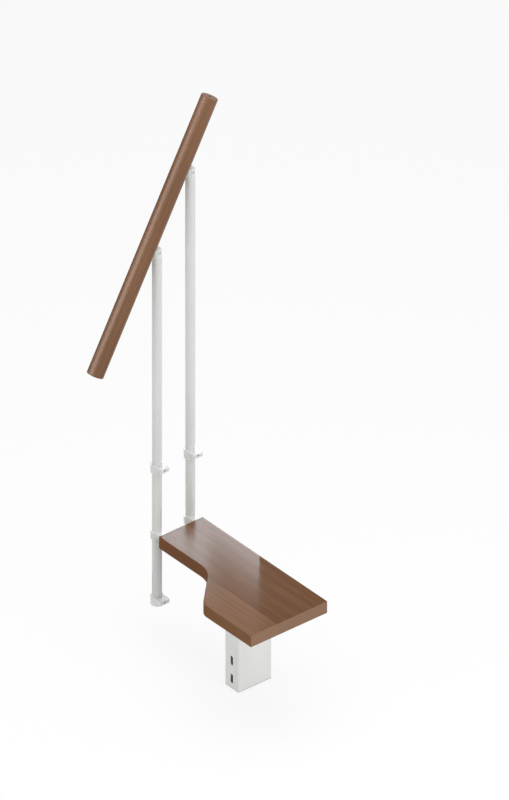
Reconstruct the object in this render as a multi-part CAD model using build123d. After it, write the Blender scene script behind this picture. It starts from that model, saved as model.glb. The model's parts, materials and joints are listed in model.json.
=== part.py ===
from build123d import *
import math
import os

# One unit of an open modular paddle stair: a swept tread on a box column, with two
# balusters and a length of handrail on its narrow end.
# Frame: +Z up, +Y the way the stair climbs, +X towards the tread's wide free end.
# Origin: middle of the column's lower bolt pair, on the face that meets the column below.

# Stair pitch
rise = 220.0
going = 120.0

# Tread
tread_length = 550.0
tread_wide_depth = 276.0
tread_narrow_depth = 158.0
tread_thickness = 40.0
tread_corner_radius = 3.0
tread_edge_radius = 2.5
sweep_start = 220.3  # from the narrow end to the corner where the front edge turns out
sweep_angle = 45.0
sweep_inner_radius = 90.0
sweep_outer_radius = 40.0

# Support column
column_width = 60.0
column_wall = 3.0
column_corner_radius = 4.0
least_corner_radius = 1.0  # where an inset leaves less of the column's corner
column_overlap = 120.0  # height that two neighbouring columns share
column_bolt_spacing = 60.0
column_slot_width = 11.0
column_slot_length = 31.0
weld_nut_flats = 17.0
weld_nut_height = 8.0
weld_nut_pilot_radius = 6.25
weld_nut_bore_radius = 4.25
foot_cap_flange = 3.0
foot_cap_chamfer = 1.5
foot_cap_depth = 12.0
foot_cap_wall = 2.0
foot_cap_clearance = 0.15

# Top plate and its screws
plate_thickness = 6.0
plate_side_reach = 25.0  # beyond each side of the column
plate_front_reach = 30.0  # in front of the column
plate_back_inset = 4.0  # from the column's back face
plate_corner_radius = 8.0
plate_screw_side = 12.0  # from the plate's side edges
plate_screw_edge = 15.0  # from the plate's front and back edges
wood_screw_radius = 3.0
wood_screw_head_radius = 5.8
wood_screw_length = 38.0
wood_screw_point = 4.5
wood_screw_socket = 4.0

# Balusters
baluster_radius = 14.0
baluster_wall = 1.5
baluster_inset = 15.0  # rear baluster's axis from the tread's back edge
foot_plug_flange = 2.5
foot_plug_chamfer = 1.2
foot_plug_depth = 16.0
foot_plug_wall = 2.0

# Brackets between tread and baluster
bracket_reach = 35.0  # from the tread's end to the baluster's axis
bracket_drop = 3.5  # bracket's top face below the tread's top face
collar_wall = 4.4
collar_height = 27.5
collar_clearance = 0.1
arm_width = 32.0
arm_thickness = 14.0
arm_root_radius = 4.0
bracket_edge_radius = 1.0
pip_radius = 2.0
pip_length = 4.0
pip_offset = 11.0
bracket_bolt_radius = 3.0
bracket_bolt_head_radius = 6.0
bracket_bolt_bite = 17.1  # into the tread's insert
bracket_bolt_chamfer = 0.8
bracket_bolt_socket = 4.0
set_screw_radius = 5.0
set_screw_socket = 5.0
insert_radius = 6.0
insert_length = 20.0

# Handrail and its fittings
rail_radius = 25.0
rail_height = 1015.0  # axis above the tread, at the front baluster
rail_length = 864.0
rail_below_front = 466.5  # along the rail, below the front baluster's axis
rail_end_bore_radius = 5.0
rail_end_bore_depth = 40.0
rail_end_chamfer = 1.0
pivot_height = 17.0  # pivot above the baluster's top end
head_step = 0.2  # fork's side inside the baluster's
head_gap = 0.3  # between the fork's round top and the saddle
head_stem_length = 25.0
stem_clearance = 0.1
saddle_thickness = 3.0
saddle_width = 22.0
saddle_above = 55.0
saddle_below = 30.0
saddle_corner_radius = 4.0
saddle_clearance = 0.1
tongue_thickness = 7.6
tongue_radius = 9.0
tongue_side_clearance = 0.2
tongue_end_clearance = 1.5
pivot_screw_radius = 3.0
pivot_screw_head_radius = 5.0
pivot_screw_head_height = 3.3
pivot_screw_chamfer = 0.5
pivot_screw_socket = 4.0
saddle_screw_radius = 2.25
saddle_screw_head_radius = 4.3
saddle_screw_length = 22.0
saddle_screw_point = 3.4
saddle_screw_socket = 3.0
saddle_screw_inset = 10.0  # from each end of the saddle

# Shared by all screws
thread_clearance = 0.05
hole_clearance = 0.2
socket_depth = 2.0
wood_screw_tip_radius = 0.5

# Places worked out from the sizes above
column_depth = going
column_bottom = -column_overlap / 2
plate_width = column_width + 2 * plate_side_reach
tread_underside = rise + column_overlap / 2
tread_top = tread_underside + tread_thickness
plate_underside = tread_underside - plate_thickness
tread_back = column_depth
narrow_front = tread_back - tread_narrow_depth
wide_front = tread_back - tread_wide_depth
narrow_end = -tread_length / 2
baluster_x = narrow_end - bracket_reach
rear_baluster_y = tread_back - baluster_inset
front_baluster_y = rear_baluster_y - going
bracket_top = tread_top - bracket_drop
pitch = math.atan2(rise, going)
baluster_inner_radius = baluster_radius - baluster_wall
collar_bore_radius = baluster_radius + collar_clearance
collar_radius = collar_bore_radius + collar_wall
bolt_drop = arm_thickness / 2
bracket_bolt_length = bracket_reach - collar_bore_radius + bracket_bolt_bite
head_radius = baluster_radius - head_step
head_slot = tongue_thickness + 2 * tongue_side_clearance
head_slot_floor = pivot_height - tongue_radius - tongue_end_clearance
saddle_face = -(head_radius + head_gap)  # saddle's outer face, from the pivot
pivot_drop = saddle_clearance + saddle_thickness - saddle_face  # pivot below the rail's underside

front_brackets = {"lower": -rise, "middle": 0.0, "upper": rise}
rear_brackets = {"lower": 0.0, "upper": rise}


def rod(centre, direction, radius, length):
    """A round bar that starts at a centre and runs in a direction."""
    return extrude(Plane(centre, z_dir=direction) * Circle(radius), amount=length)


def turned(centre, direction, profile):
    """A turned body on a centre line: the profile lists radii and distances along the line."""
    points = [(radius, 0, distance) for radius, distance in profile]
    return Plane(centre, z_dir=direction) * revolve(make_face(Polyline(*points, close=True)), Axis.Z)


def socket(centre, direction, flats):
    """The six-sided socket that is sunk in a screw's end, as a tool to cut it."""
    hexagon = RegularPolygon(flats / 2, 6, major_radius=False)
    return extrude(Plane(centre, z_dir=direction) * hexagon, amount=socket_depth)


def countersunk_screw(centre, direction, radius, head_radius, length, flats, point, tip_radius):
    """A flat-headed socket screw whose head face lies at a centre, tapered to a tip over its point."""
    neck = head_radius - radius
    profile = [(0, 0), (head_radius, 0), (radius, neck), (radius, length - point)]
    screw = turned(centre, direction, profile + [(tip_radius, length), (0, length)])
    return screw - socket(centre, direction, flats)


def countersunk_hole(centre, direction, radius, head_radius, length, lead):
    """The clearance hole and sunk seat of a flat-headed screw, open in front for a lead."""
    hole = radius + hole_clearance
    seat = head_radius + thread_clearance
    profile = [(0, -lead), (seat, -lead), (seat, 0), (hole, seat - hole), (hole, length), (0, length)]
    return turned(centre, direction, profile)


def plate_screw_places():
    """Where the six screws pass through the top plate."""
    front = -plate_front_reach + plate_screw_edge
    back = column_depth - plate_back_inset - plate_screw_edge
    rows = (front, (front + back) / 2, back)
    offset = plate_width / 2 - plate_screw_side
    return [(side * offset, y, plate_underside) for side in (-1, 1) for y in rows]


def tread_bracket_places():
    """Baluster axes beside this tread, at the height of the bracket bolts."""
    height = bracket_top - bolt_drop
    return [(baluster_x, y, height) for y in (front_baluster_y, rear_baluster_y)]


def make_tread():
    """Flat board, narrow at the balusters, whose front edge sweeps out to the wide end."""
    sweep_run = (narrow_front - wide_front) / math.tan(math.radians(sweep_angle))
    inner = (narrow_end + sweep_start, narrow_front)
    outer = (inner[0] + sweep_run, wide_front)
    corners = [
        (narrow_end, tread_back),
        (narrow_end, narrow_front),
        inner,
        outer,
        (-narrow_end, wide_front),
        (-narrow_end, tread_back),
    ]
    outline = make_face(Polyline(*corners, close=True))
    radii = {inner: sweep_inner_radius, outer: sweep_outer_radius}
    for corner in corners:
        vertex = outline.vertices().sort_by_distance((*corner, 0))[0]
        outline = fillet(vertex, radii.get(corner, tread_corner_radius))
    board = extrude(Pos(0, 0, tread_underside) * outline, amount=tread_thickness)
    board = fillet(board.faces().sort_by(Axis.Z)[0].edges(), tread_edge_radius)
    board = fillet(board.faces().sort_by(Axis.Z)[-1].edges(), tread_edge_radius)
    for place in plate_screw_places():
        board -= rod(place, (0, 0, 1), wood_screw_radius + thread_clearance, wood_screw_length)
    for x, y, z in tread_bracket_places():
        board -= rod((narrow_end, y, z), (1, 0, 0), insert_radius + thread_clearance, insert_length)
        for side in (-1, 1):
            pip = (narrow_end, y + side * pip_offset, z)
            board -= rod(pip, (1, 0, 0), pip_radius + thread_clearance, pip_length + hole_clearance)
    return board


def column_outline(inset):
    """The column's rounded rectangle, drawn in from its outer face by an inset."""
    width = column_width - 2 * inset
    depth = column_depth - 2 * inset
    radius = max(column_corner_radius - inset, least_corner_radius)
    return Pos(0, column_depth / 2) * RectangleRounded(width, depth, radius)


def column_nut_heights():
    """Heights of the two bolts that hold the column above."""
    return [rise - column_bolt_spacing / 2, rise + column_bolt_spacing / 2]


def make_column_tube():
    """Rolled box section with vertical slots low down and nut holes high in the back wall."""
    height = plate_underside - column_bottom
    section = column_outline(0) - column_outline(column_wall)
    tube = extrude(Pos(0, 0, column_bottom) * section, amount=height)
    for z in (-column_bolt_spacing / 2, column_bolt_spacing / 2):
        slot = Plane((0, 0, z), x_dir=(0, 0, 1), z_dir=(0, 1, 0))
        tube -= extrude(slot * SlotOverall(column_slot_length, column_slot_width), amount=column_depth)
    for z in column_nut_heights():
        inside = (0, column_depth - column_wall, z)
        tube -= rod(inside, (0, 1, 0), weld_nut_pilot_radius + thread_clearance, column_wall)
    return tube


def make_column_weld_nuts():
    """Hexagon nuts inside the back wall, each with a round pilot that fills the wall's hole."""
    nuts = []
    for z in column_nut_heights():
        back = (0, column_depth, z)
        face = Plane((0, column_depth - column_wall, z), x_dir=(1, 0, 0), z_dir=(0, -1, 0))
        hexagon = RegularPolygon(weld_nut_flats / 2, 6, major_radius=False)
        nut = extrude(face * hexagon, amount=weld_nut_height)
        nut += rod(back, (0, -1, 0), weld_nut_pilot_radius, column_wall)
        nut -= rod(back, (0, -1, 0), weld_nut_bore_radius, column_wall + weld_nut_height)
        nuts.append(nut)
    return nuts


def make_column_top_plate():
    """Flat plate welded on the column, countersunk from below for the tread's screws."""
    depth = plate_front_reach + column_depth - plate_back_inset
    middle = (column_depth - plate_back_inset - plate_front_reach) / 2
    sheet = Pos(0, middle, plate_underside) * RectangleRounded(plate_width, depth, plate_corner_radius)
    plate = extrude(sheet, amount=plate_thickness)
    for place in plate_screw_places():
        plate -= countersunk_hole(
            place, (0, 0, 1), wood_screw_radius, wood_screw_head_radius, plate_thickness, plate_thickness
        )
    return plate


def make_plate_screws():
    """Wood screws from below, through the top plate into the tread."""
    size = (wood_screw_radius, wood_screw_head_radius, wood_screw_length, wood_screw_socket)
    end = (wood_screw_point, wood_screw_tip_radius)
    return [countersunk_screw(place, (0, 0, 1), *size, *end) for place in plate_screw_places()]


def make_column_foot_cap():
    """Push-in plastic cap: a flange under the tube's end and a thin skirt inside it."""
    inset = column_wall + foot_cap_clearance
    flange = Pos(0, 0, column_bottom - foot_cap_flange) * column_outline(0)
    cap = extrude(flange, amount=foot_cap_flange)
    cap = chamfer(cap.faces().sort_by(Axis.Z)[0].edges(), foot_cap_chamfer)
    skirt = column_outline(inset) - column_outline(inset + foot_cap_wall)
    return cap + extrude(Pos(0, 0, column_bottom) * skirt, amount=foot_cap_depth)


def make_baluster_tube(y, lowest_bracket):
    """Round tube from the foot of its lowest bracket up to the rail fitting."""
    bottom = bracket_top + lowest_bracket - collar_height
    length = baluster_top(y) - bottom
    tube = rod((baluster_x, y, bottom), (0, 0, 1), baluster_radius, length)
    return tube - rod((baluster_x, y, bottom), (0, 0, 1), baluster_inner_radius, length)


def make_baluster_foot_plug(y, lowest_bracket):
    """Plastic plug with a chamfered flange and a hollow stem."""
    bottom = bracket_top + lowest_bracket - collar_height
    stem_radius = baluster_inner_radius - stem_clearance
    plug = rod((baluster_x, y, bottom), (0, 0, -1), baluster_radius, foot_plug_flange)
    plug = chamfer(plug.faces().sort_by(Axis.Z)[0].edges(), foot_plug_chamfer)
    plug += rod((baluster_x, y, bottom), (0, 0, 1), stem_radius, foot_plug_depth)
    return plug - rod((baluster_x, y, bottom), (0, 0, 1), stem_radius - foot_plug_wall, foot_plug_depth)


def make_bracket(y, height):
    """Cast collar with a flat arm, two locating pips and one bolt hole along the arm."""
    top = bracket_top + height
    bolt_z = top - bolt_drop
    collar = rod((baluster_x, y, top - collar_height), (0, 0, 1), collar_radius, collar_height)
    arm = Pos(baluster_x + bracket_reach / 2, y, top - arm_thickness / 2) * Box(
        bracket_reach, arm_width, arm_thickness
    )
    body = collar + arm
    root = baluster_x + math.sqrt(collar_radius**2 - (arm_width / 2) ** 2)
    roots = body.edges().filter_by(Axis.Z).filter_by_position(
        Axis.X, root - bracket_edge_radius, root + bracket_edge_radius
    )
    body = fillet(roots, arm_root_radius)
    rims = body.edges().filter_by_position(Axis.X, -math.inf, narrow_end - bracket_edge_radius)
    body = fillet(rims.group_by(Axis.Z)[-1], bracket_edge_radius)
    body = chamfer(body.faces().sort_by(Axis.Z)[0].edges(), bracket_edge_radius)
    body -= rod((baluster_x, y, top - collar_height), (0, 0, 1), collar_bore_radius, collar_height)
    seat = (baluster_x + collar_bore_radius, y, bolt_z)
    body -= countersunk_hole(
        seat, (1, 0, 0), bracket_bolt_radius, bracket_bolt_head_radius, bracket_reach, collar_bore_radius
    )
    body -= rod((baluster_x, y, bolt_z), (-1, 0, 0), set_screw_radius + thread_clearance, collar_radius)
    for side in (-1, 1):
        body += rod((narrow_end, y + side * pip_offset, bolt_z), (1, 0, 0), pip_radius, pip_length)
    return body


def make_bracket_bolts():
    """Flat-headed bolts from inside the collars into the tread's threaded inserts."""
    heads = [(x + collar_bore_radius, y, z) for x, y, z in tread_bracket_places()]
    size = (bracket_bolt_radius, bracket_bolt_head_radius, bracket_bolt_length, bracket_bolt_socket)
    end = (bracket_bolt_chamfer, bracket_bolt_radius - bracket_bolt_chamfer)
    return [countersunk_screw(head, (1, 0, 0), *size, *end) for head in heads]


def make_tread_inserts():
    """Threaded sleeves let into the tread's narrow end."""
    sleeves = []
    for x, y, z in tread_bracket_places():
        sleeve = rod((narrow_end, y, z), (1, 0, 0), insert_radius, insert_length)
        bore = bracket_bolt_radius + thread_clearance
        sleeves.append(sleeve - rod((narrow_end, y, z), (1, 0, 0), bore, insert_length))
    return sleeves


def make_bracket_set_screws():
    """Short socket screws through the collars' outer sides, against the tubes."""
    screws = []
    places = [(front_baluster_y, height) for height in front_brackets.values()]
    places += [(rear_baluster_y, height) for height in rear_brackets.values()]
    for y, height in places:
        z = bracket_top + height - bolt_drop
        start = (baluster_x - baluster_radius - thread_clearance, y, z)
        length = collar_radius - baluster_radius - 2 * collar_clearance
        screw = rod(start, (-1, 0, 0), set_screw_radius, length)
        screws.append(screw - socket((start[0] - length, y, z), (1, 0, 0), set_screw_socket))
    return screws


def rail_axis_height(y):
    """Height of the rail's axis over a point along the stair."""
    return tread_top + rail_height + (y - front_baluster_y) * math.tan(pitch)


def pivot_centre(y):
    """Where the pivot screw crosses a baluster's axis."""
    drop = (rail_radius + pivot_drop) / math.cos(pitch)
    return Vector(baluster_x, y, rail_axis_height(y) - drop)


def baluster_top(y):
    """Height of a baluster tube's upper end."""
    return pivot_centre(y).Z - pivot_height


def rail_plane(y):
    """At a pivot: Z along the rail, Y square away from the rail, X across the stair."""
    return Plane(pivot_centre(y), x_dir=(1, 0, 0), z_dir=(0, math.cos(pitch), math.sin(pitch)))


def make_baluster_head(y):
    """Round fork on a stem: the stem fills the tube and the two ears hold the saddle's tongue."""
    pivot = pivot_centre(y)
    base = baluster_top(y)
    lift = head_radius + pivot_height
    body = rod((baluster_x, y, base), (0, 0, 1), head_radius, lift)
    side = Plane(pivot - Vector(head_radius, 0, 0), x_dir=(0, 1, 0), z_dir=(1, 0, 0))
    profile = Circle(head_radius) + Pos(0, -pivot_height / 2) * Rectangle(2 * head_radius, pivot_height)
    body &= extrude(side * profile, amount=2 * head_radius)
    slot_height = lift - head_slot_floor
    body -= Pos(baluster_x, y, base + head_slot_floor + slot_height / 2) * Box(
        head_slot, 2 * head_radius, slot_height
    )
    body += rod(
        (baluster_x, y, base), (0, 0, -1), baluster_inner_radius - stem_clearance, head_stem_length
    )
    body -= rod(pivot, (1, 0, 0), pivot_screw_radius + hole_clearance, head_radius)
    body -= rod(pivot, (-1, 0, 0), pivot_screw_radius + thread_clearance, head_radius)
    recess = head_radius - pivot_screw_head_height - hole_clearance
    head_seat = pivot + Vector(recess, 0, 0)
    return body - rod(head_seat, (1, 0, 0), pivot_screw_head_radius + hole_clearance, head_radius)


def make_pivot_screw(y):
    """Cap screw across both ears, its head sunk in the ear that faces the tread."""
    pivot = pivot_centre(y)
    seat = pivot + Vector(head_radius - pivot_screw_head_height - hole_clearance, 0, 0)
    screw = rod(seat, (1, 0, 0), pivot_screw_head_radius, pivot_screw_head_height)
    screw = chamfer(screw.faces().sort_by(Axis.X)[-1].edges(), pivot_screw_chamfer)
    far_end = pivot.X - head_radius + 2 * hole_clearance
    screw += rod(seat, (-1, 0, 0), pivot_screw_radius, seat.X - far_end)
    return screw - socket(seat + Vector(pivot_screw_head_height, 0, 0), (-1, 0, 0), pivot_screw_socket)


def saddle_screw_places():
    """Where the wood screws pass through a saddle, measured along the rail from the pivot."""
    return [-saddle_below + saddle_screw_inset, saddle_above - saddle_screw_inset]


def make_saddle(y):
    """Curved strap under the rail with a rounded tongue that hangs between the ears."""
    inner = rail_radius + saddle_clearance
    outer = inner + saddle_thickness
    axis_y = -(rail_radius + pivot_drop)
    length = saddle_below + saddle_above
    ring = Pos(0, axis_y, -length) * (Circle(outer) - Circle(inner))
    square = Plane((0, axis_y, (saddle_above - saddle_below) / 2), x_dir=(0, 0, 1), z_dir=(0, 1, 0))
    outline = square * RectangleRounded(length, saddle_width, saddle_corner_radius)
    strap = extrude(ring, amount=2 * length) & extrude(outline, amount=outer + saddle_thickness)
    across = Plane((-tongue_thickness / 2, 0, 0), x_dir=(0, 1, 0), z_dir=(1, 0, 0))
    root = axis_y + inner + saddle_thickness / 2
    tongue = Circle(tongue_radius) + Pos(root / 2, 0) * Rectangle(-root, 2 * tongue_radius)
    strap += extrude(across * tongue, amount=tongue_thickness)
    pin_start = (-tongue_thickness, 0, 0)
    strap -= rod(pin_start, (1, 0, 0), pivot_screw_radius + hole_clearance, 2 * tongue_thickness)
    for place in saddle_screw_places():
        face = (0, axis_y + outer, place)
        size = (saddle_screw_radius, saddle_screw_head_radius, 2 * saddle_thickness, saddle_thickness)
        strap -= countersunk_hole(face, (0, -1, 0), *size)
    return rail_plane(y) * strap


def make_saddle_screws():
    """Wood screws up through both saddles into the rail."""
    screws = []
    size = (saddle_screw_radius, saddle_screw_head_radius, saddle_screw_length, saddle_screw_socket)
    end = (saddle_screw_point, wood_screw_tip_radius)
    for y in (front_baluster_y, rear_baluster_y):
        for place in saddle_screw_places():
            screw = countersunk_screw((0, saddle_face, place), (0, -1, 0), *size, *end)
            screws.append(rail_plane(y) * screw)
    return screws


def make_handrail():
    """Round rail parallel to the pitch, square-cut, with a bore in each end for its neighbour."""
    along = Vector(0, math.cos(pitch), math.sin(pitch))
    middle = Vector(baluster_x, front_baluster_y, rail_axis_height(front_baluster_y))
    low_end = middle - along * rail_below_front
    high_end = low_end + along * rail_length
    rail = rod(low_end, along, rail_radius, rail_length)
    rail = chamfer(rail.edges().filter_by(GeomType.CIRCLE), rail_end_chamfer)
    rail -= rod(low_end, along, rail_end_bore_radius, rail_end_bore_depth)
    rail -= rod(high_end, -along, rail_end_bore_radius, rail_end_bore_depth)
    pilot_radius = saddle_screw_radius + thread_clearance
    for y in (front_baluster_y, rear_baluster_y):
        for place in saddle_screw_places():
            pilot = rod((0, saddle_face, place), (0, -1, 0), pilot_radius, saddle_screw_length)
            rail -= rail_plane(y) * pilot
    return rail


def write(name, shape):
    """Write one piece, or one group of loose pieces, under its node's name."""
    export_step(Compound(shape) if isinstance(shape, list) else shape, f"parts/{name}.step")


os.makedirs("parts", exist_ok=True)
write("tread", make_tread())
write("column_tube", make_column_tube())
write("column_top_plate", make_column_top_plate())
write("column_foot_cap", make_column_foot_cap())
write("column_weld_nuts", make_column_weld_nuts())
write("plate_screws", make_plate_screws())
write("bracket_bolts", make_bracket_bolts())
write("bracket_set_screws", make_bracket_set_screws())
write("tread_inserts", make_tread_inserts())
write("saddle_screws", make_saddle_screws())
write("handrail", make_handrail())

balusters = {"front": (front_baluster_y, front_brackets), "rear": (rear_baluster_y, rear_brackets)}
for side, (y, brackets) in balusters.items():
    write(f"{side}_baluster_tube", make_baluster_tube(y, min(brackets.values())))
    write(f"{side}_baluster_foot_plug", make_baluster_foot_plug(y, min(brackets.values())))
    write(f"{side}_baluster_head", make_baluster_head(y))
    write(f"{side}_pivot_screw", make_pivot_screw(y))
    write(f"{side}_rail_saddle", make_saddle(y))
    for level, height in brackets.items():
        write(f"{side}_baluster_{level}_bracket", make_bracket(y, height))
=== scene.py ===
import json
import math

import bpy
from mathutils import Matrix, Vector


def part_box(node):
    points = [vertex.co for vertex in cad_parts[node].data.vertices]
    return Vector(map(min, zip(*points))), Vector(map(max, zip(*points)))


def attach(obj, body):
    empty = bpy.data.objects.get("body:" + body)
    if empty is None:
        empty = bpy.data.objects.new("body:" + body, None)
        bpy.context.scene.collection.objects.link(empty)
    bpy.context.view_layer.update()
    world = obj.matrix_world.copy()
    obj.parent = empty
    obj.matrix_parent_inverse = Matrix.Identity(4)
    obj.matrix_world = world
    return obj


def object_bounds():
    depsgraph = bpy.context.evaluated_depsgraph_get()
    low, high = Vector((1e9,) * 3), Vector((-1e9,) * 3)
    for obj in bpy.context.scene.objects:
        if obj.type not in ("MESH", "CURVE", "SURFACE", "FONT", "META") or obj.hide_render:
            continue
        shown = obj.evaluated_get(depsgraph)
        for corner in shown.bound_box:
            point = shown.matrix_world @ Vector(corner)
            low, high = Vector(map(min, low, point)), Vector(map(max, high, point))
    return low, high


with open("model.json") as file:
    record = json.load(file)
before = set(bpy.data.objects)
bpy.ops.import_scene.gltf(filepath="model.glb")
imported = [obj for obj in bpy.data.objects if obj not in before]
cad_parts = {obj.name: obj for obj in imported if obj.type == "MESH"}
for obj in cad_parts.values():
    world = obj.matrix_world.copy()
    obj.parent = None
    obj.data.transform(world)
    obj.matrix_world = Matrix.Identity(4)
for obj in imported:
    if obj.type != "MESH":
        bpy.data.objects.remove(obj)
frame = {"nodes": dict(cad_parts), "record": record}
nodes = frame["nodes"]
subparts = frame["record"]["subparts"]
cad_low, cad_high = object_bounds()

# The picture: a parallel view, placed by the pixel where the row frame's origin falls
PICTURE_WIDTH = 509
PICTURE_HEIGHT = 800
ORIGIN_PIXEL = (231.7, 669.6)
PIXELS_PER_METRE = 359.0
VIEW_AZIMUTH = math.radians(50.64)
VIEW_ELEVATION = math.radians(33.61)
CAMERA_DISTANCE = 4.0

# Corners of CAD nodes, read from the frame
TREAD_LOW, TREAD_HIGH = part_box("tread")
COLUMN_LOW, COLUMN_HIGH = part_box("column_tube")
PLATE_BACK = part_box("column_top_plate")[1].y
RAIL_LOW, RAIL_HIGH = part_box("handrail")
TUBE_LOW, TUBE_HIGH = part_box("rear_baluster_tube")
RAIL_RADIUS = (RAIL_HIGH.x - RAIL_LOW.x) / 2
TUBE_RADIUS = (TUBE_HIGH.x - TUBE_LOW.x) / 2


def rail_pitch():
    """The rail's angle above the ground, from the two saddles, which are one going apart."""
    front_low, front_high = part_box("front_rail_saddle")
    rear_low, rear_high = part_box("rear_rail_saddle")
    step = (rear_low + rear_high - front_low - front_high) / 2
    return math.atan2(step.z, step.y)


class Graph:
    """The node tree of a material or a world, with short calls for the nodes that they share."""

    def __init__(self, owner):
        owner.use_nodes = True
        self.owner = owner
        self.nodes = owner.node_tree.nodes
        self.links = owner.node_tree.links
        self.shader = self.nodes.get("Principled BSDF")

    def add(self, kind, inputs=None, **settings):
        node = self.nodes.new(kind)
        for key, value in settings.items():
            setattr(node, key, value)
        for key, value in (inputs or {}).items():
            self.put(value, node.inputs[key])
        return node

    def put(self, value, socket):
        """Link an output to a socket, or set the socket to a plain value."""
        if isinstance(value, bpy.types.NodeSocket):
            self.links.new(value, socket)
        else:
            socket.default_value = value

    def place(self, rotation=(0, 0, 0)):
        """Points of the object in metres, turned."""
        coordinates = self.add("ShaderNodeTexCoord").outputs["Object"]
        mapping = self.add("ShaderNodeMapping", {"Vector": coordinates, "Rotation": rotation})
        return mapping.outputs["Vector"]

    def parts(self, vector):
        """The X, Y and Z of a vector."""
        return self.add("ShaderNodeSeparateXYZ", {"Vector": vector}).outputs

    def joined(self, x, y, z):
        return self.add("ShaderNodeCombineXYZ", {"X": x, "Y": y, "Z": z}).outputs["Vector"]

    def calc(self, operation, *values):
        inputs = dict(enumerate(values))
        return self.add("ShaderNodeMath", inputs, operation=operation).outputs["Value"]

    def noise(self, vector, scales, detail=2.0, roughness=0.5):
        """Noise with so many waves a metre along each axis."""
        scaled = self.add("ShaderNodeVectorMath", {0: vector, 1: scales}, operation="MULTIPLY")
        inputs = {"Vector": scaled.outputs["Vector"], "Scale": 1.0, "Detail": detail, "Roughness": roughness}
        return self.add("ShaderNodeTexNoise", inputs).outputs["Fac"]

    def random(self, vector):
        return self.add("ShaderNodeTexWhiteNoise", {"Vector": vector}, noise_dimensions="3D").outputs["Value"]

    def ramp(self, value, low, high, start=0.0, end=1.0):
        """A value taken smoothly from one range to another."""
        inputs = {"Value": value, "From Min": low, "From Max": high, "To Min": start, "To Max": end}
        node = self.add("ShaderNodeMapRange", inputs, interpolation_type="SMOOTHSTEP")
        return node.outputs["Result"]

    def mix(self, share, first, second):
        """A blend of two colours."""
        node = self.add("ShaderNodeMix", data_type="RGBA")
        for socket, value in ((0, share), (6, first), (7, second)):
            self.put(value, node.inputs[socket])
        return node.outputs[2]

    def dim(self, colour, factor):
        """A colour times a grey factor."""
        node = self.add("ShaderNodeVectorMath", {0: colour, "Scale": factor}, operation="SCALE")
        return node.outputs["Vector"]

    def bump(self, height, distance, strength):
        inputs = {"Height": height, "Distance": distance, "Strength": strength}
        self.put(self.add("ShaderNodeBump", inputs).outputs["Normal"], self.shader.inputs["Normal"])

    def set(self, **sockets):
        """Values for the shader's own sockets, with _ for a space in the name."""
        for key, value in sockets.items():
            self.put(value, self.shader.inputs[key.replace("_", " ")])

    def seen(self):
        """1 for rays from the camera, from a glossy surface or through glass, and 0 for diffuse ones."""
        rays = self.add("ShaderNodeLightPath").outputs
        direct = self.calc("MAXIMUM", rays["Is Camera Ray"], rays["Is Glossy Ray"])
        return self.calc("MAXIMUM", direct, rays["Is Transmission Ray"])


def new_material(name):
    return Graph(bpy.data.materials.new(name))


# Most noise lies in this range
NOISE_RANGE = (0.3, 0.7)

# Stained beech, in metres along the grain (X), across it (Y) and through it (Z)
STAIN_DARK = (0.108, 0.048, 0.021, 1)
STAIN_LIGHT = (0.243, 0.120, 0.060, 1)
STAIN_RED = (0.215, 0.088, 0.040, 1)
RED_FROM = 0.35  # of a stave's chance
RED_SHARE = 0.45
# End faces in a paler colour than the stain gives: painted light on the tread's lit ends
LIT_END_COLOUR = (0.256, 0.155, 0.098, 1)
LIT_END_SHARE = 0.8
LIT_END_DEPTH = 0.0006
NO_LIT_END = 9.0  # farther along the grain than any point

# Staves: each row starts its lengths elsewhere, and the rows at the tread's front are painted paler, a
# painted sheen of light on the front of the top that grows in along X
STAVE_WIDTH = 0.064
STAVE_START = 0.003
STAVE_LENGTH = 1.4
STAVE_SHIFT = 3.0
SHEEN_ROWS = -1.5
SHEEN_RISE = (-0.03, 0.09)
SHEEN_SHARE = 0.32

# Growth rings round a heart that lies under the stave
RING_PERIOD = 0.0042
RING_WANDER = 0.02
HEART_SPREAD = 0.3
HEART_LEAST = 0.4
HEART_DEPTH = 0.12

# Noise in the wood, in waves a metre, and how much each part adds to the tone
DRIFT_SCALES = (2.2, 16.0, 16.0)
FIBRE_SCALES = (9.0, 420.0, 420.0)
FIBRE_RANGE = (0.25, 0.75)
FLECK_SCALES = (260.0, 1500.0, 700.0)
FLECK_RANGE = (0.60, 0.72)
CLOUD_SCALES = (3.0, 11.0, 11.0)
RING_SHARE = 0.22
FIBRE_SHARE = 0.42
CLOUD_SHARE = 0.2
STAVE_SHARE = 0.2
FLECK_SHARE = 0.2

# The wood's surface, and its varnish as weight and roughness
WOOD_ROUGHNESS = (0.46, 0.36)
ROUGHNESS_RANGE = (0.2, 0.8)
FLECK_DEPTH = 0.6  # as a share of the fibres' depth
GRAIN_DEPTH = 0.00005
GRAIN_STRENGTH = 0.25
VARNISH_IOR = 1.5
TREAD_VARNISH = (0.3, 0.20)
RAIL_VARNISH = (0.65, 0.36)
TREAD_SEED = 539.0
RAIL_SEED = 25.0


def stave_chances(g, x, y, width, start, seed):
    """The row of staves at a point, and two random draws for the stave there."""
    row = g.calc("FLOOR", g.calc("DIVIDE", g.calc("SUBTRACT", y, start), width))
    row_chance = g.random(g.joined(row, seed, 0.0))
    length = g.calc("FLOOR", g.calc("ADD", g.calc("DIVIDE", x, STAVE_LENGTH), row_chance))
    chance = g.random(g.joined(row, length, seed))
    other = g.random(g.joined(row, length, seed + 1.0))
    return row, chance, other


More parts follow.
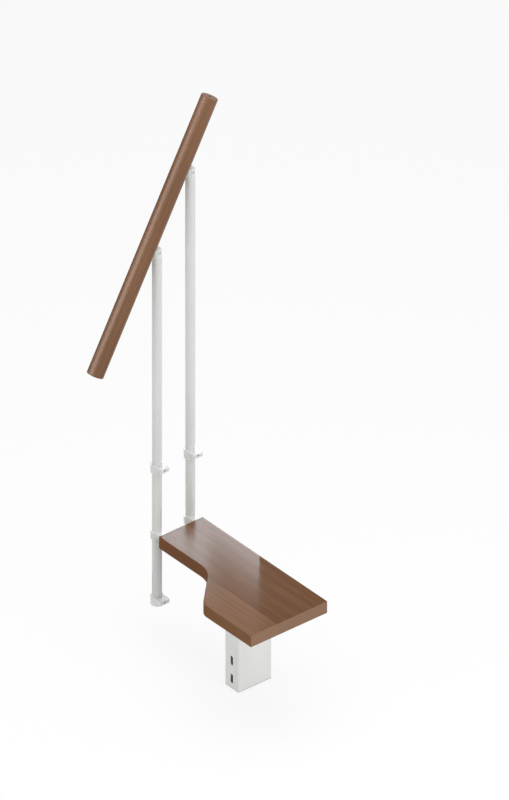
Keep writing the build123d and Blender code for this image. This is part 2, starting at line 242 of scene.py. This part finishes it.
def growth_rings(g, y, z, drift, chance, other):
    """Light and dark rings, whose heart each stave has in a place of its own."""
    aside = g.calc("MULTIPLY", g.calc("SUBTRACT", chance, 0.5), HEART_SPREAD)
    below = g.calc("MULTIPLY", g.calc("ADD", other, HEART_LEAST), HEART_DEPTH)
    heart = g.joined(0.0, g.calc("SUBTRACT", y, aside), g.calc("ADD", z, below))
    radius = g.add("ShaderNodeVectorMath", {0: heart}, operation="LENGTH").outputs["Value"]
    wavy = g.calc("ADD", radius, g.calc("MULTIPLY", drift, RING_WANDER))
    return g.calc("PINGPONG", g.calc("DIVIDE", wavy, RING_PERIOD), 1.0)


def wood(name, rotation, stave_width, stave_start, half_length, varnish, seed):
    """Glued beech staves under brown stain and a satin varnish, solid through the piece, with painted light:
    paler rows at the tread's front and paler end faces.
    """
    g = new_material(name)
    x, y, z = g.parts(g.place(rotation))
    row, chance, other = stave_chances(g, x, y, stave_width, stave_start, seed)
    shifted = g.joined(g.calc("ADD", x, g.calc("MULTIPLY", chance, STAVE_SHIFT)), y, z)
    ring = growth_rings(g, y, z, g.noise(shifted, DRIFT_SCALES), chance, other)
    fibre = g.noise(shifted, FIBRE_SCALES, detail=4.0, roughness=0.65)
    fleck = g.ramp(g.noise(shifted, FLECK_SCALES, detail=1.0), *FLECK_RANGE)
    cloud = g.noise(shifted, CLOUD_SCALES)

    tone = g.calc("MULTIPLY", ring, RING_SHARE)
    tone = g.calc("ADD", tone, g.ramp(fibre, *FIBRE_RANGE, 0.0, FIBRE_SHARE))
    tone = g.calc("ADD", tone, g.ramp(cloud, *NOISE_RANGE, 0.0, CLOUD_SHARE))
    tone = g.calc("ADD", tone, g.calc("MULTIPLY", chance, STAVE_SHARE))
    # Painted sheen: the rows at the front are lighter, rising in along X
    painted_sheen = g.calc("MULTIPLY", g.calc("LESS_THAN", row, SHEEN_ROWS), g.ramp(x, *SHEEN_RISE))
    tone = g.calc("ADD", tone, g.calc("MULTIPLY", painted_sheen, SHEEN_SHARE))
    colour = g.mix(tone, STAIN_DARK, STAIN_LIGHT)
    colour = g.mix(g.ramp(other, RED_FROM, 1.0, 0.0, RED_SHARE), colour, STAIN_RED)
    colour = g.dim(colour, g.calc("SUBTRACT", 1.0, g.calc("MULTIPLY", fleck, FLECK_SHARE)))
    # Painted light: both end faces of the tread are paler than the rest
    end = g.calc("GREATER_THAN", g.calc("ABSOLUTE", x), half_length - LIT_END_DEPTH)
    colour = g.mix(g.calc("MULTIPLY", end, LIT_END_SHARE), colour, LIT_END_COLOUR)

    roughness = g.ramp(fibre, *ROUGHNESS_RANGE, *WOOD_ROUGHNESS)
    g.set(Base_Color=colour, Roughness=roughness, Specular_IOR_Level=0.0)
    g.set(Coat_Weight=varnish[0], Coat_Roughness=varnish[1], Coat_IOR=VARNISH_IOR)
    grain = g.calc("SUBTRACT", fibre, g.calc("MULTIPLY", fleck, FLECK_DEPTH))
    g.bump(grain, GRAIN_DEPTH, GRAIN_STRENGTH)
    return g.owner


# Powder coats: colour, waves a metre of the texture, its depth and the roughness
TUBE_COAT = ((0.70, 0.705, 0.69), 900.0, 0.00003, 0.34)
# A lighter copy of the tube coat for the column: painted light where the tread shades it
COLUMN_LIT_COAT = ((0.81, 0.815, 0.795), 900.0, 0.00003, 0.34)
CASTING_COAT = ((0.74, 0.745, 0.73), 520.0, 0.00008, 0.34)
COAT_CLOUD_SCALES = (14.0, 14.0, 5.0)
COAT_CLOUD_LEVELS = (0.97, 1.02)
COAT_SPECK_SCALE = 2200.0
COAT_SPECK_LEVELS = (-0.015, 0.015)
COAT_UNEVENNESS = 0.04
COAT_BUMP = 0.6


def coat(name, colour, scale, depth, roughness):
    """Powder coat: even colour over a fine, slightly uneven texture."""
    g = new_material(name)
    point = g.place()
    texture = g.noise(point, (scale, scale, scale))
    cloud = g.noise(point, COAT_CLOUD_SCALES)
    speck = g.noise(point, (COAT_SPECK_SCALE,) * 3, detail=0.0)
    lightness = g.ramp(cloud, *NOISE_RANGE, *COAT_CLOUD_LEVELS)
    speckle = g.ramp(speck, *NOISE_RANGE, *COAT_SPECK_LEVELS)
    g.set(Base_Color=g.dim(colour, g.calc("ADD", lightness, speckle)))
    roughnesses = (roughness - COAT_UNEVENNESS, roughness + COAT_UNEVENNESS)
    g.set(Roughness=g.ramp(cloud, *NOISE_RANGE, *roughnesses))
    g.bump(texture, depth, COAT_BUMP)
    return g.owner


PLASTIC_COLOUR = (0.42, 0.43, 0.42)
PLASTIC_SCALE = 1400.0
PLASTIC_LEVELS = (0.94, 1.03)
PLASTIC_ROUGHNESS = (0.5, 0.62)
PLASTIC_DEPTH = 0.00008
PLASTIC_BUMP = 0.5


def plastic(name, colour):
    """Moulded plastic with a fine spark-eroded texture."""
    g = new_material(name)
    texture = g.noise(g.place(), (PLASTIC_SCALE,) * 3, detail=3.0)
    g.set(Base_Color=g.dim(colour, g.ramp(texture, *NOISE_RANGE, *PLASTIC_LEVELS)))
    g.set(Roughness=g.ramp(texture, *NOISE_RANGE, *PLASTIC_ROUGHNESS))
    g.bump(texture, PLASTIC_DEPTH, PLASTIC_BUMP)
    return g.owner


# Metals: colour and roughness
ZINC = ((0.72, 0.74, 0.76), 0.28)
BRASS = ((0.80, 0.62, 0.28), 0.25)
MARKS_SCALE = 2600.0
MARKS_DEPTH = 0.00004
MARKS_BUMP = 0.4
HAZE_SCALE = 300.0
HAZE_LEVELS = (0.9, 1.05)
HAZE_ROUGHNESS = (-0.05, 0.08)


def plated(name, colour, roughness):
    """Plated or machined metal with fine turning marks and a little unevenness."""
    g = new_material(name)
    point = g.place()
    marks = g.noise(point, (MARKS_SCALE,) * 3)
    haze = g.noise(point, (HAZE_SCALE,) * 3)
    g.set(Base_Color=g.dim(colour, g.ramp(haze, *NOISE_RANGE, *HAZE_LEVELS)))
    roughnesses = [roughness + change for change in HAZE_ROUGHNESS]
    g.set(Metallic=1.0, Roughness=g.ramp(haze, *NOISE_RANGE, *roughnesses))
    g.bump(marks, MARKS_DEPTH, MARKS_BUMP)
    return g.owner


# Weld bead under the top plate, along both sides and the front of the column
COLUMN_CORNER = 0.004
BEAD_LEG = 0.0042
BEAD_STEP = 0.0006
BEAD_BACK = 0.010  # from the plate's back edge
BEAD_RIPPLE = 0.0026
BEAD_RIPPLE_DEPTH = 0.1  # as a share of the leg
BEAD_TAPER = 0.003
BEAD_END = 0.3  # of the leg, at either end
BEAD_FLATNESS = 0.6  # between a round section and a straight one
BEAD_SECTION_STEPS = 6


def bead_path():
    """Points of the column's outline and the way out of it there, from one side's back to the other's."""
    corner = Vector((COLUMN_HIGH.x - COLUMN_CORNER, COLUMN_LOW.y + COLUMN_CORNER))
    back = PLATE_BACK - BEAD_BACK
    half = []
    steps = round((back - corner.y) / BEAD_STEP)
    for i in range(steps):
        half.append((Vector((COLUMN_HIGH.x, back + (corner.y - back) * i / steps)), Vector((1, 0))))
    steps = round(COLUMN_CORNER * math.pi / 2 / BEAD_STEP)
    for i in range(steps):
        turn = math.pi / 2 * i / steps
        out = Vector((math.cos(turn), -math.sin(turn)))
        half.append((corner + out * COLUMN_CORNER, out))
    steps = round(corner.x / BEAD_STEP)
    for i in range(steps):
        half.append((Vector((corner.x * (1 - i / steps), COLUMN_LOW.y)), Vector((0, -1))))
    middle = [(Vector((0, COLUMN_LOW.y)), Vector((0, -1)))]
    mirrored = [(Vector((-p.x, p.y)), Vector((-out.x, out.y))) for p, out in reversed(half)]
    return half + middle + mirrored


def bead_section(leg):
    """How far out and how far down: the root, then a rounded fillet from the wall to the plate."""
    points = [(0.0, 0.0)]
    for i in range(BEAD_SECTION_STEPS + 1):
        turn = math.pi / 2 * i / BEAD_SECTION_STEPS
        flat = 1 / (math.sin(turn) + math.cos(turn))
        reach = leg * (BEAD_FLATNESS * flat + 1 - BEAD_FLATNESS)
        points.append((reach * math.sin(turn), reach * math.cos(turn)))
    return points


def bead_leg(i, count):
    """The bead's size at one point of its path: rippled, and thinner at both ends."""
    wave = abs(math.sin(math.pi * i * BEAD_STEP / BEAD_RIPPLE))
    ripple = 1 - BEAD_RIPPLE_DEPTH + BEAD_RIPPLE_DEPTH * wave
    from_end = min(i, count - 1 - i) * BEAD_STEP
    return BEAD_LEG * ripple * min(1, BEAD_END + from_end / BEAD_TAPER)


def make_weld_bead(material):
    """The bead as one closed mesh, a section at each point of its path."""
    path = bead_path()
    count = len(path)
    vertices = []
    for i, (point, out) in enumerate(path):
        for reach, drop in bead_section(bead_leg(i, count)):
            vertices.append((*(point + out * reach), COLUMN_HIGH.z - drop))
    ring = len(vertices) // count
    faces = [tuple(range(ring)), tuple(reversed(range(len(vertices) - ring, len(vertices))))]
    for i in range(count - 1):
        for j in range(ring):
            a = i * ring + j
            b = i * ring + (j + 1) % ring
            faces.append((b, a, a + ring, b + ring))
    mesh = bpy.data.meshes.new("weld_bead")
    mesh.from_pydata(vertices, [], faces)
    mesh.polygons.foreach_set("use_smooth", [len(f.vertices) == 4 for f in mesh.polygons])
    mesh.materials.append(material)
    bead = bpy.data.objects.new("weld_bead", mesh)
    bpy.context.scene.collection.objects.link(bead)
    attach(bead, "root")


def dress(material, name):
    """Give a CAD node its material in place of the plain one."""
    slots = nodes[name].data.materials
    slots.clear()
    slots.append(material)


def dress_wood():
    """The tread's staves lie along X, and the rail is one stave along its slope, with no paler end faces."""
    tread_staves = (STAVE_WIDTH, STAVE_START, (TREAD_HIGH.x - TREAD_LOW.x) / 2)
    dress(wood("tread_beech", (0, 0, 0), *tread_staves, TREAD_VARNISH, TREAD_SEED), "tread")
    along_rail = (-rail_pitch(), 0, -math.pi / 2)
    rail_stave = (RAIL_RADIUS * 4, -RAIL_RADIUS * 2, NO_LIT_END)
    dress(wood("rail_beech", along_rail, *rail_stave, RAIL_VARNISH, RAIL_SEED), "handrail")


def dress_all():
    """Every node gets the finish of its material slot, and the column, its top plate and the weld bead a
    lighter copy of the tube coat, painted light where the tread shades them.
    """
    finishes = {
        "light_grey_coat": coat("light_grey_coat", *TUBE_COAT),
        "light_grey_casting": coat("light_grey_casting", *CASTING_COAT),
        "grey_plastic": plastic("grey_plastic", PLASTIC_COLOUR),
        "zinc_steel": plated("zinc_steel", *ZINC),
        "brass_inserts": plated("brass_inserts", *BRASS),
    }
    for part in subparts:
        if part["material_slot"] in finishes:
            dress(finishes[part["material_slot"]], part["node"])
    # Painted light: a lighter copy of the tube coat for the column, its top plate and the weld bead
    column_lit_coat = coat("light_grey_coat_lit_copy", *COLUMN_LIT_COAT)
    dress(column_lit_coat, "column_tube")
    dress(column_lit_coat, "column_top_plate")
    make_weld_bead(column_lit_coat)
    dress_wood()


def make_camera():
    """Parallel view at the picture's angle, with the origin at its pixel."""
    flat = math.cos(VIEW_ELEVATION)
    aside = math.sin(VIEW_AZIMUTH) * flat
    forward = math.cos(VIEW_AZIMUTH) * flat
    back = Vector((aside, -forward, math.sin(VIEW_ELEVATION)))
    right = Vector((math.cos(VIEW_AZIMUTH), math.sin(VIEW_AZIMUTH), 0))
    up = back.cross(right)
    sideways = (PICTURE_WIDTH / 2 - ORIGIN_PIXEL[0]) / PIXELS_PER_METRE
    upwards = (ORIGIN_PIXEL[1] - PICTURE_HEIGHT / 2) / PIXELS_PER_METRE
    data = bpy.data.cameras.new("camera")
    data.type = "ORTHO"
    data.ortho_scale = PICTURE_HEIGHT / PIXELS_PER_METRE
    camera = bpy.data.objects.new("camera", data)
    camera.location = right * sideways + up * upwards + back * CAMERA_DISTANCE
    camera.rotation_euler = back.to_track_quat("Z", "Y").to_euler()
    bpy.context.scene.collection.objects.link(camera)
    bpy.context.scene.camera = camera


# Light, where white is 1
WHITE = (1, 1, 1, 1)
BLACK = (0, 0, 0, 1)
AMBIENT = 0.66
FLOOR_HALF_SIZE = 12.0
FLOOR_COLOUR = (0.86, 0.86, 0.86)
FLOOR_GLOW = 0.76
SHADOW_SHARE = 0.3

# Lamps: place from the object's middle, width, height and level
LAMPS = {
    "top": ((0.3, -0.2, 2.2), 2.4, 2.4, 1.2),
    "side": ((2.7, 0.3, 0.1), 1.6, 2.0, 2.2),
    "front": ((-1.2, -2.6, 0.4), 1.6, 2.2, 0.7),
}


def make_world():
    """White where it is seen or mirrored, and a softer even light on everything."""
    world = bpy.data.worlds.new("world")
    bpy.context.scene.world = world
    g = Graph(world)
    levels = {"Value": g.seen(), "To Min": AMBIENT, "To Max": 1.0}
    background = g.nodes["Background"].inputs
    g.put(WHITE, background["Color"])
    g.put(g.add("ShaderNodeMapRange", levels).outputs["Result"], background["Strength"])


def make_floor():
    """Pale floor under the column's foot, which shows white and keeps a soft shadow."""
    size = FLOOR_HALF_SIZE
    corners = [(-size, -size), (size, -size), (size, size), (-size, size)]
    mesh = bpy.data.meshes.new("floor")
    mesh.from_pydata([(x, y, cad_low.z) for x, y in corners], [], [(0, 1, 2, 3)])
    floor = bpy.data.objects.new("floor", mesh)
    bpy.context.scene.collection.objects.link(floor)
    g = new_material("floor")
    seen = g.seen()
    kept = g.calc("SUBTRACT", 1.0, g.calc("MULTIPLY", seen, 1 - SHADOW_SHARE))
    g.set(Base_Color=g.dim(FLOOR_COLOUR, kept), Roughness=1.0, Specular_IOR_Level=0.0)
    g.set(Emission_Color=WHITE, Emission_Strength=g.calc("MULTIPLY", seen, FLOOR_GLOW))
    mesh.materials.append(g.owner)


def soft_light(name, place, target, width, height, level):
    """An area lamp whose face is as bright as a level."""
    data = bpy.data.lights.new(name, "AREA")
    data.shape = "RECTANGLE"
    data.size = width
    data.size_y = height
    data.energy = level * math.pi * width * height
    lamp = bpy.data.objects.new(name, data)
    lamp.location = place
    lamp.rotation_euler = (place - target).to_track_quat("Z", "Y").to_euler()
    lamp.visible_camera = False
    lamp.visible_glossy = False
    bpy.context.scene.collection.objects.link(lamp)


def make_lights():
    """A wide top light, a key on the tread's free end and a fill from the front left."""
    middle = (cad_low + cad_high) / 2
    for name, (offset, width, height, level) in LAMPS.items():
        soft_light(name, middle + Vector(offset), middle, width, height, level)


# Mirror cards. What the varnish mirrors: far behind the tread a bright panel that fades upwards and one
# beside it, close behind it the dark next step, below it the step before, and a panel at the front left
TOP = TREAD_HIGH.z
COOL = (0.80, 0.92, 1.0, 1)
BROWN = (0.2, 0.1, 0.06, 1)
CARD_HEIGHT = 1.0

# The two panels behind, left and right of FADE_X
PANEL_Y = TREAD_HIGH.y + 0.3
PANEL_FOOT = TOP + 0.2
PANEL_LEFT = -1.1
FADE_X = -0.62
PANEL_RIGHT = -0.25
LEFT_HEAD = TOP + 0.54
LEFT_RISE = (TOP + 0.34, TOP + 0.47)
LEFT_STRENGTHS = (13.5, 16.5)
BACK_FADE = (TOP + 0.30, TOP + 0.447)
BACK_STRENGTHS = (15.5, 0.0)

# The card before the rear baluster, which shortens its mirror image
TUBE_CARD_OFFSET = 1.1  # in tube radii from the axis
TUBE_FADE = (TOP + 0.026, TOP + 0.102)
TUBE_STRENGTHS = (0.6, 11.5)

# The panel at the front left
FRONT_Y = -2.2
FRONT_LEFT = -1.9
FRONT_RIGHT = -0.1
FRONT_FOOT = 0.7
FRONT_HEAD = 3.0
FRONT_RANGE = (FRONT_FOOT, FRONT_HEAD)
FRONT_STRENGTHS = (6.0, 6.0)

# Dark cards: the next step, two parts of the step before, and at the left a card that paints shade into
# mirror images, darkening the handrail's left edge
NEXT_STEP_Y = TREAD_HIGH.y + 0.004
NEXT_STEP_LEFT = -0.029
NEXT_STEP_RIGHT = 0.5
STEP_BEFORE_Z = 0.1
STEP_BEFORE = ((-0.8, -0.7), (0.3, -0.17))
STEP_BEFORE_BACK = ((-0.42, -0.17), (-0.05, 0.3))
RAIL_SHADE_X = -1.3
RAIL_SHADE_FRONT = -0.6
RAIL_SHADE_BACK = 0.8
RAIL_SHADE_FOOT = 0.45
RAIL_SHADE_HEAD = 1.7
DARK_STRENGTH = 0.2
STEP_BEFORE_STRENGTH = 0.6


def card(name, corners, material):
    """A flat card that shows only in glossy surfaces."""
    mesh = bpy.data.meshes.new(name)
    mesh.from_pydata(corners, [], [tuple(range(len(corners)))])
    mesh.materials.append(material)
    made = bpy.data.objects.new(name, mesh)
    bpy.context.scene.collection.objects.link(made)
    made.visible_camera = False
    made.visible_diffuse = False
    made.visible_shadow = False
    made.visible_transmission = False
    return made


def dark_card(name, corners, strength):
    """A brown card that hides what is behind it."""
    g = new_material(name)
    g.set(Base_Color=BLACK, Specular_IOR_Level=0.0)
    g.set(Emission_Color=BROWN, Emission_Strength=strength)
    card(name, corners, g.owner)


def glow_card(name, corners, colour, strengths, fade, receivers):
    """A clear card whose glow changes with height and reaches the receivers, or everything for None."""
    g = new_material(name)
    strength = g.ramp(g.parts(g.place())["Z"], *fade, *strengths)
    glow = g.add("ShaderNodeEmission", {"Color": colour, "Strength": strength}).outputs["Emission"]
    clear = g.add("ShaderNodeBsdfTransparent").outputs["BSDF"]
    both = g.add("ShaderNodeAddShader", {0: glow, 1: clear}).outputs["Shader"]
    g.put(both, g.nodes["Material Output"].inputs["Surface"])
    card(name, corners, g.owner).light_linking.receiver_collection = receivers


def upright(start, end, bottom, top):
    """Corners of a card that stands on the line between two points."""
    return [(*start, bottom), (*end, bottom), (*end, top), (*start, top)]


def lying(low, high, z):
    """Corners of a level card between two opposite corners."""
    return [(low[0], low[1], z), (high[0], low[1], z), (high[0], high[1], z), (low[0], high[1], z)]


def tube_card():
    """Corners of a narrow card before the rear baluster, across the way that the tread's top mirrors."""
    axis = ((TUBE_LOW + TUBE_HIGH) / 2).xy
    across = Vector((math.cos(VIEW_AZIMUTH), math.sin(VIEW_AZIMUTH)))
    before = axis + Vector((across.y, -across.x)) * TUBE_RADIUS * TUBE_CARD_OFFSET
    sideways = across * TUBE_RADIUS
    return upright(before - sideways, before + sideways, TOP, TOP + CARD_HEIGHT)


def receiver_group(name, names):
    """A collection of the CAD nodes that a card's glow reaches."""
    group = bpy.data.collections.new(name)
    for node in names:
        group.objects.link(nodes[node])
    return group


def make_glow_cards():
    castings = [part["node"] for part in subparts if part["material_slot"] == "light_grey_casting"]
    tread = receiver_group("mirrors", ["tread"])
    tread_and_castings = receiver_group("mirrors_and_castings", ["tread", *castings])
    back = upright((FADE_X, PANEL_Y), (PANEL_RIGHT, PANEL_Y), PANEL_FOOT, BACK_FADE[1])
    glow_card("back_panel", back, COOL, BACK_STRENGTHS, BACK_FADE, tread_and_castings)
    left = upright((PANEL_LEFT, PANEL_Y), (FADE_X, PANEL_Y), PANEL_FOOT, LEFT_HEAD)
    glow_card("left_panel", left, COOL, LEFT_STRENGTHS, LEFT_RISE, tread_and_castings)
    glow_card("tube_glow", tube_card(), COOL, TUBE_STRENGTHS, TUBE_FADE, tread)
    front = upright((FRONT_LEFT, FRONT_Y), (FRONT_RIGHT, FRONT_Y), FRONT_FOOT, FRONT_HEAD)
    glow_card("front_panel", front, WHITE, FRONT_STRENGTHS, FRONT_RANGE, None)


def make_dark_cards():
    next_left = (NEXT_STEP_LEFT, NEXT_STEP_Y)
    next_right = (NEXT_STEP_RIGHT, NEXT_STEP_Y)
    dark_card("next_step", upright(next_left, next_right, TOP, TOP + CARD_HEIGHT), DARK_STRENGTH)
    dark_card("step_before", lying(*STEP_BEFORE, STEP_BEFORE_Z), STEP_BEFORE_STRENGTH)
    dark_card("step_before_back", lying(*STEP_BEFORE_BACK, STEP_BEFORE_Z), STEP_BEFORE_STRENGTH)
    # Painted shade: a dark card at the left, mirrored as a darker left edge on the handrail
    rail_shade = upright((RAIL_SHADE_X, RAIL_SHADE_FRONT), (RAIL_SHADE_X, RAIL_SHADE_BACK), RAIL_SHADE_FOOT, RAIL_SHADE_HEAD)
    dark_card("rail_edge_shade", rail_shade, DARK_STRENGTH)


bpy.context.scene.view_settings.view_transform = "Standard"
make_camera()
make_world()
make_floor()
make_lights()
make_glow_cards()
make_dark_cards()
dress_all()
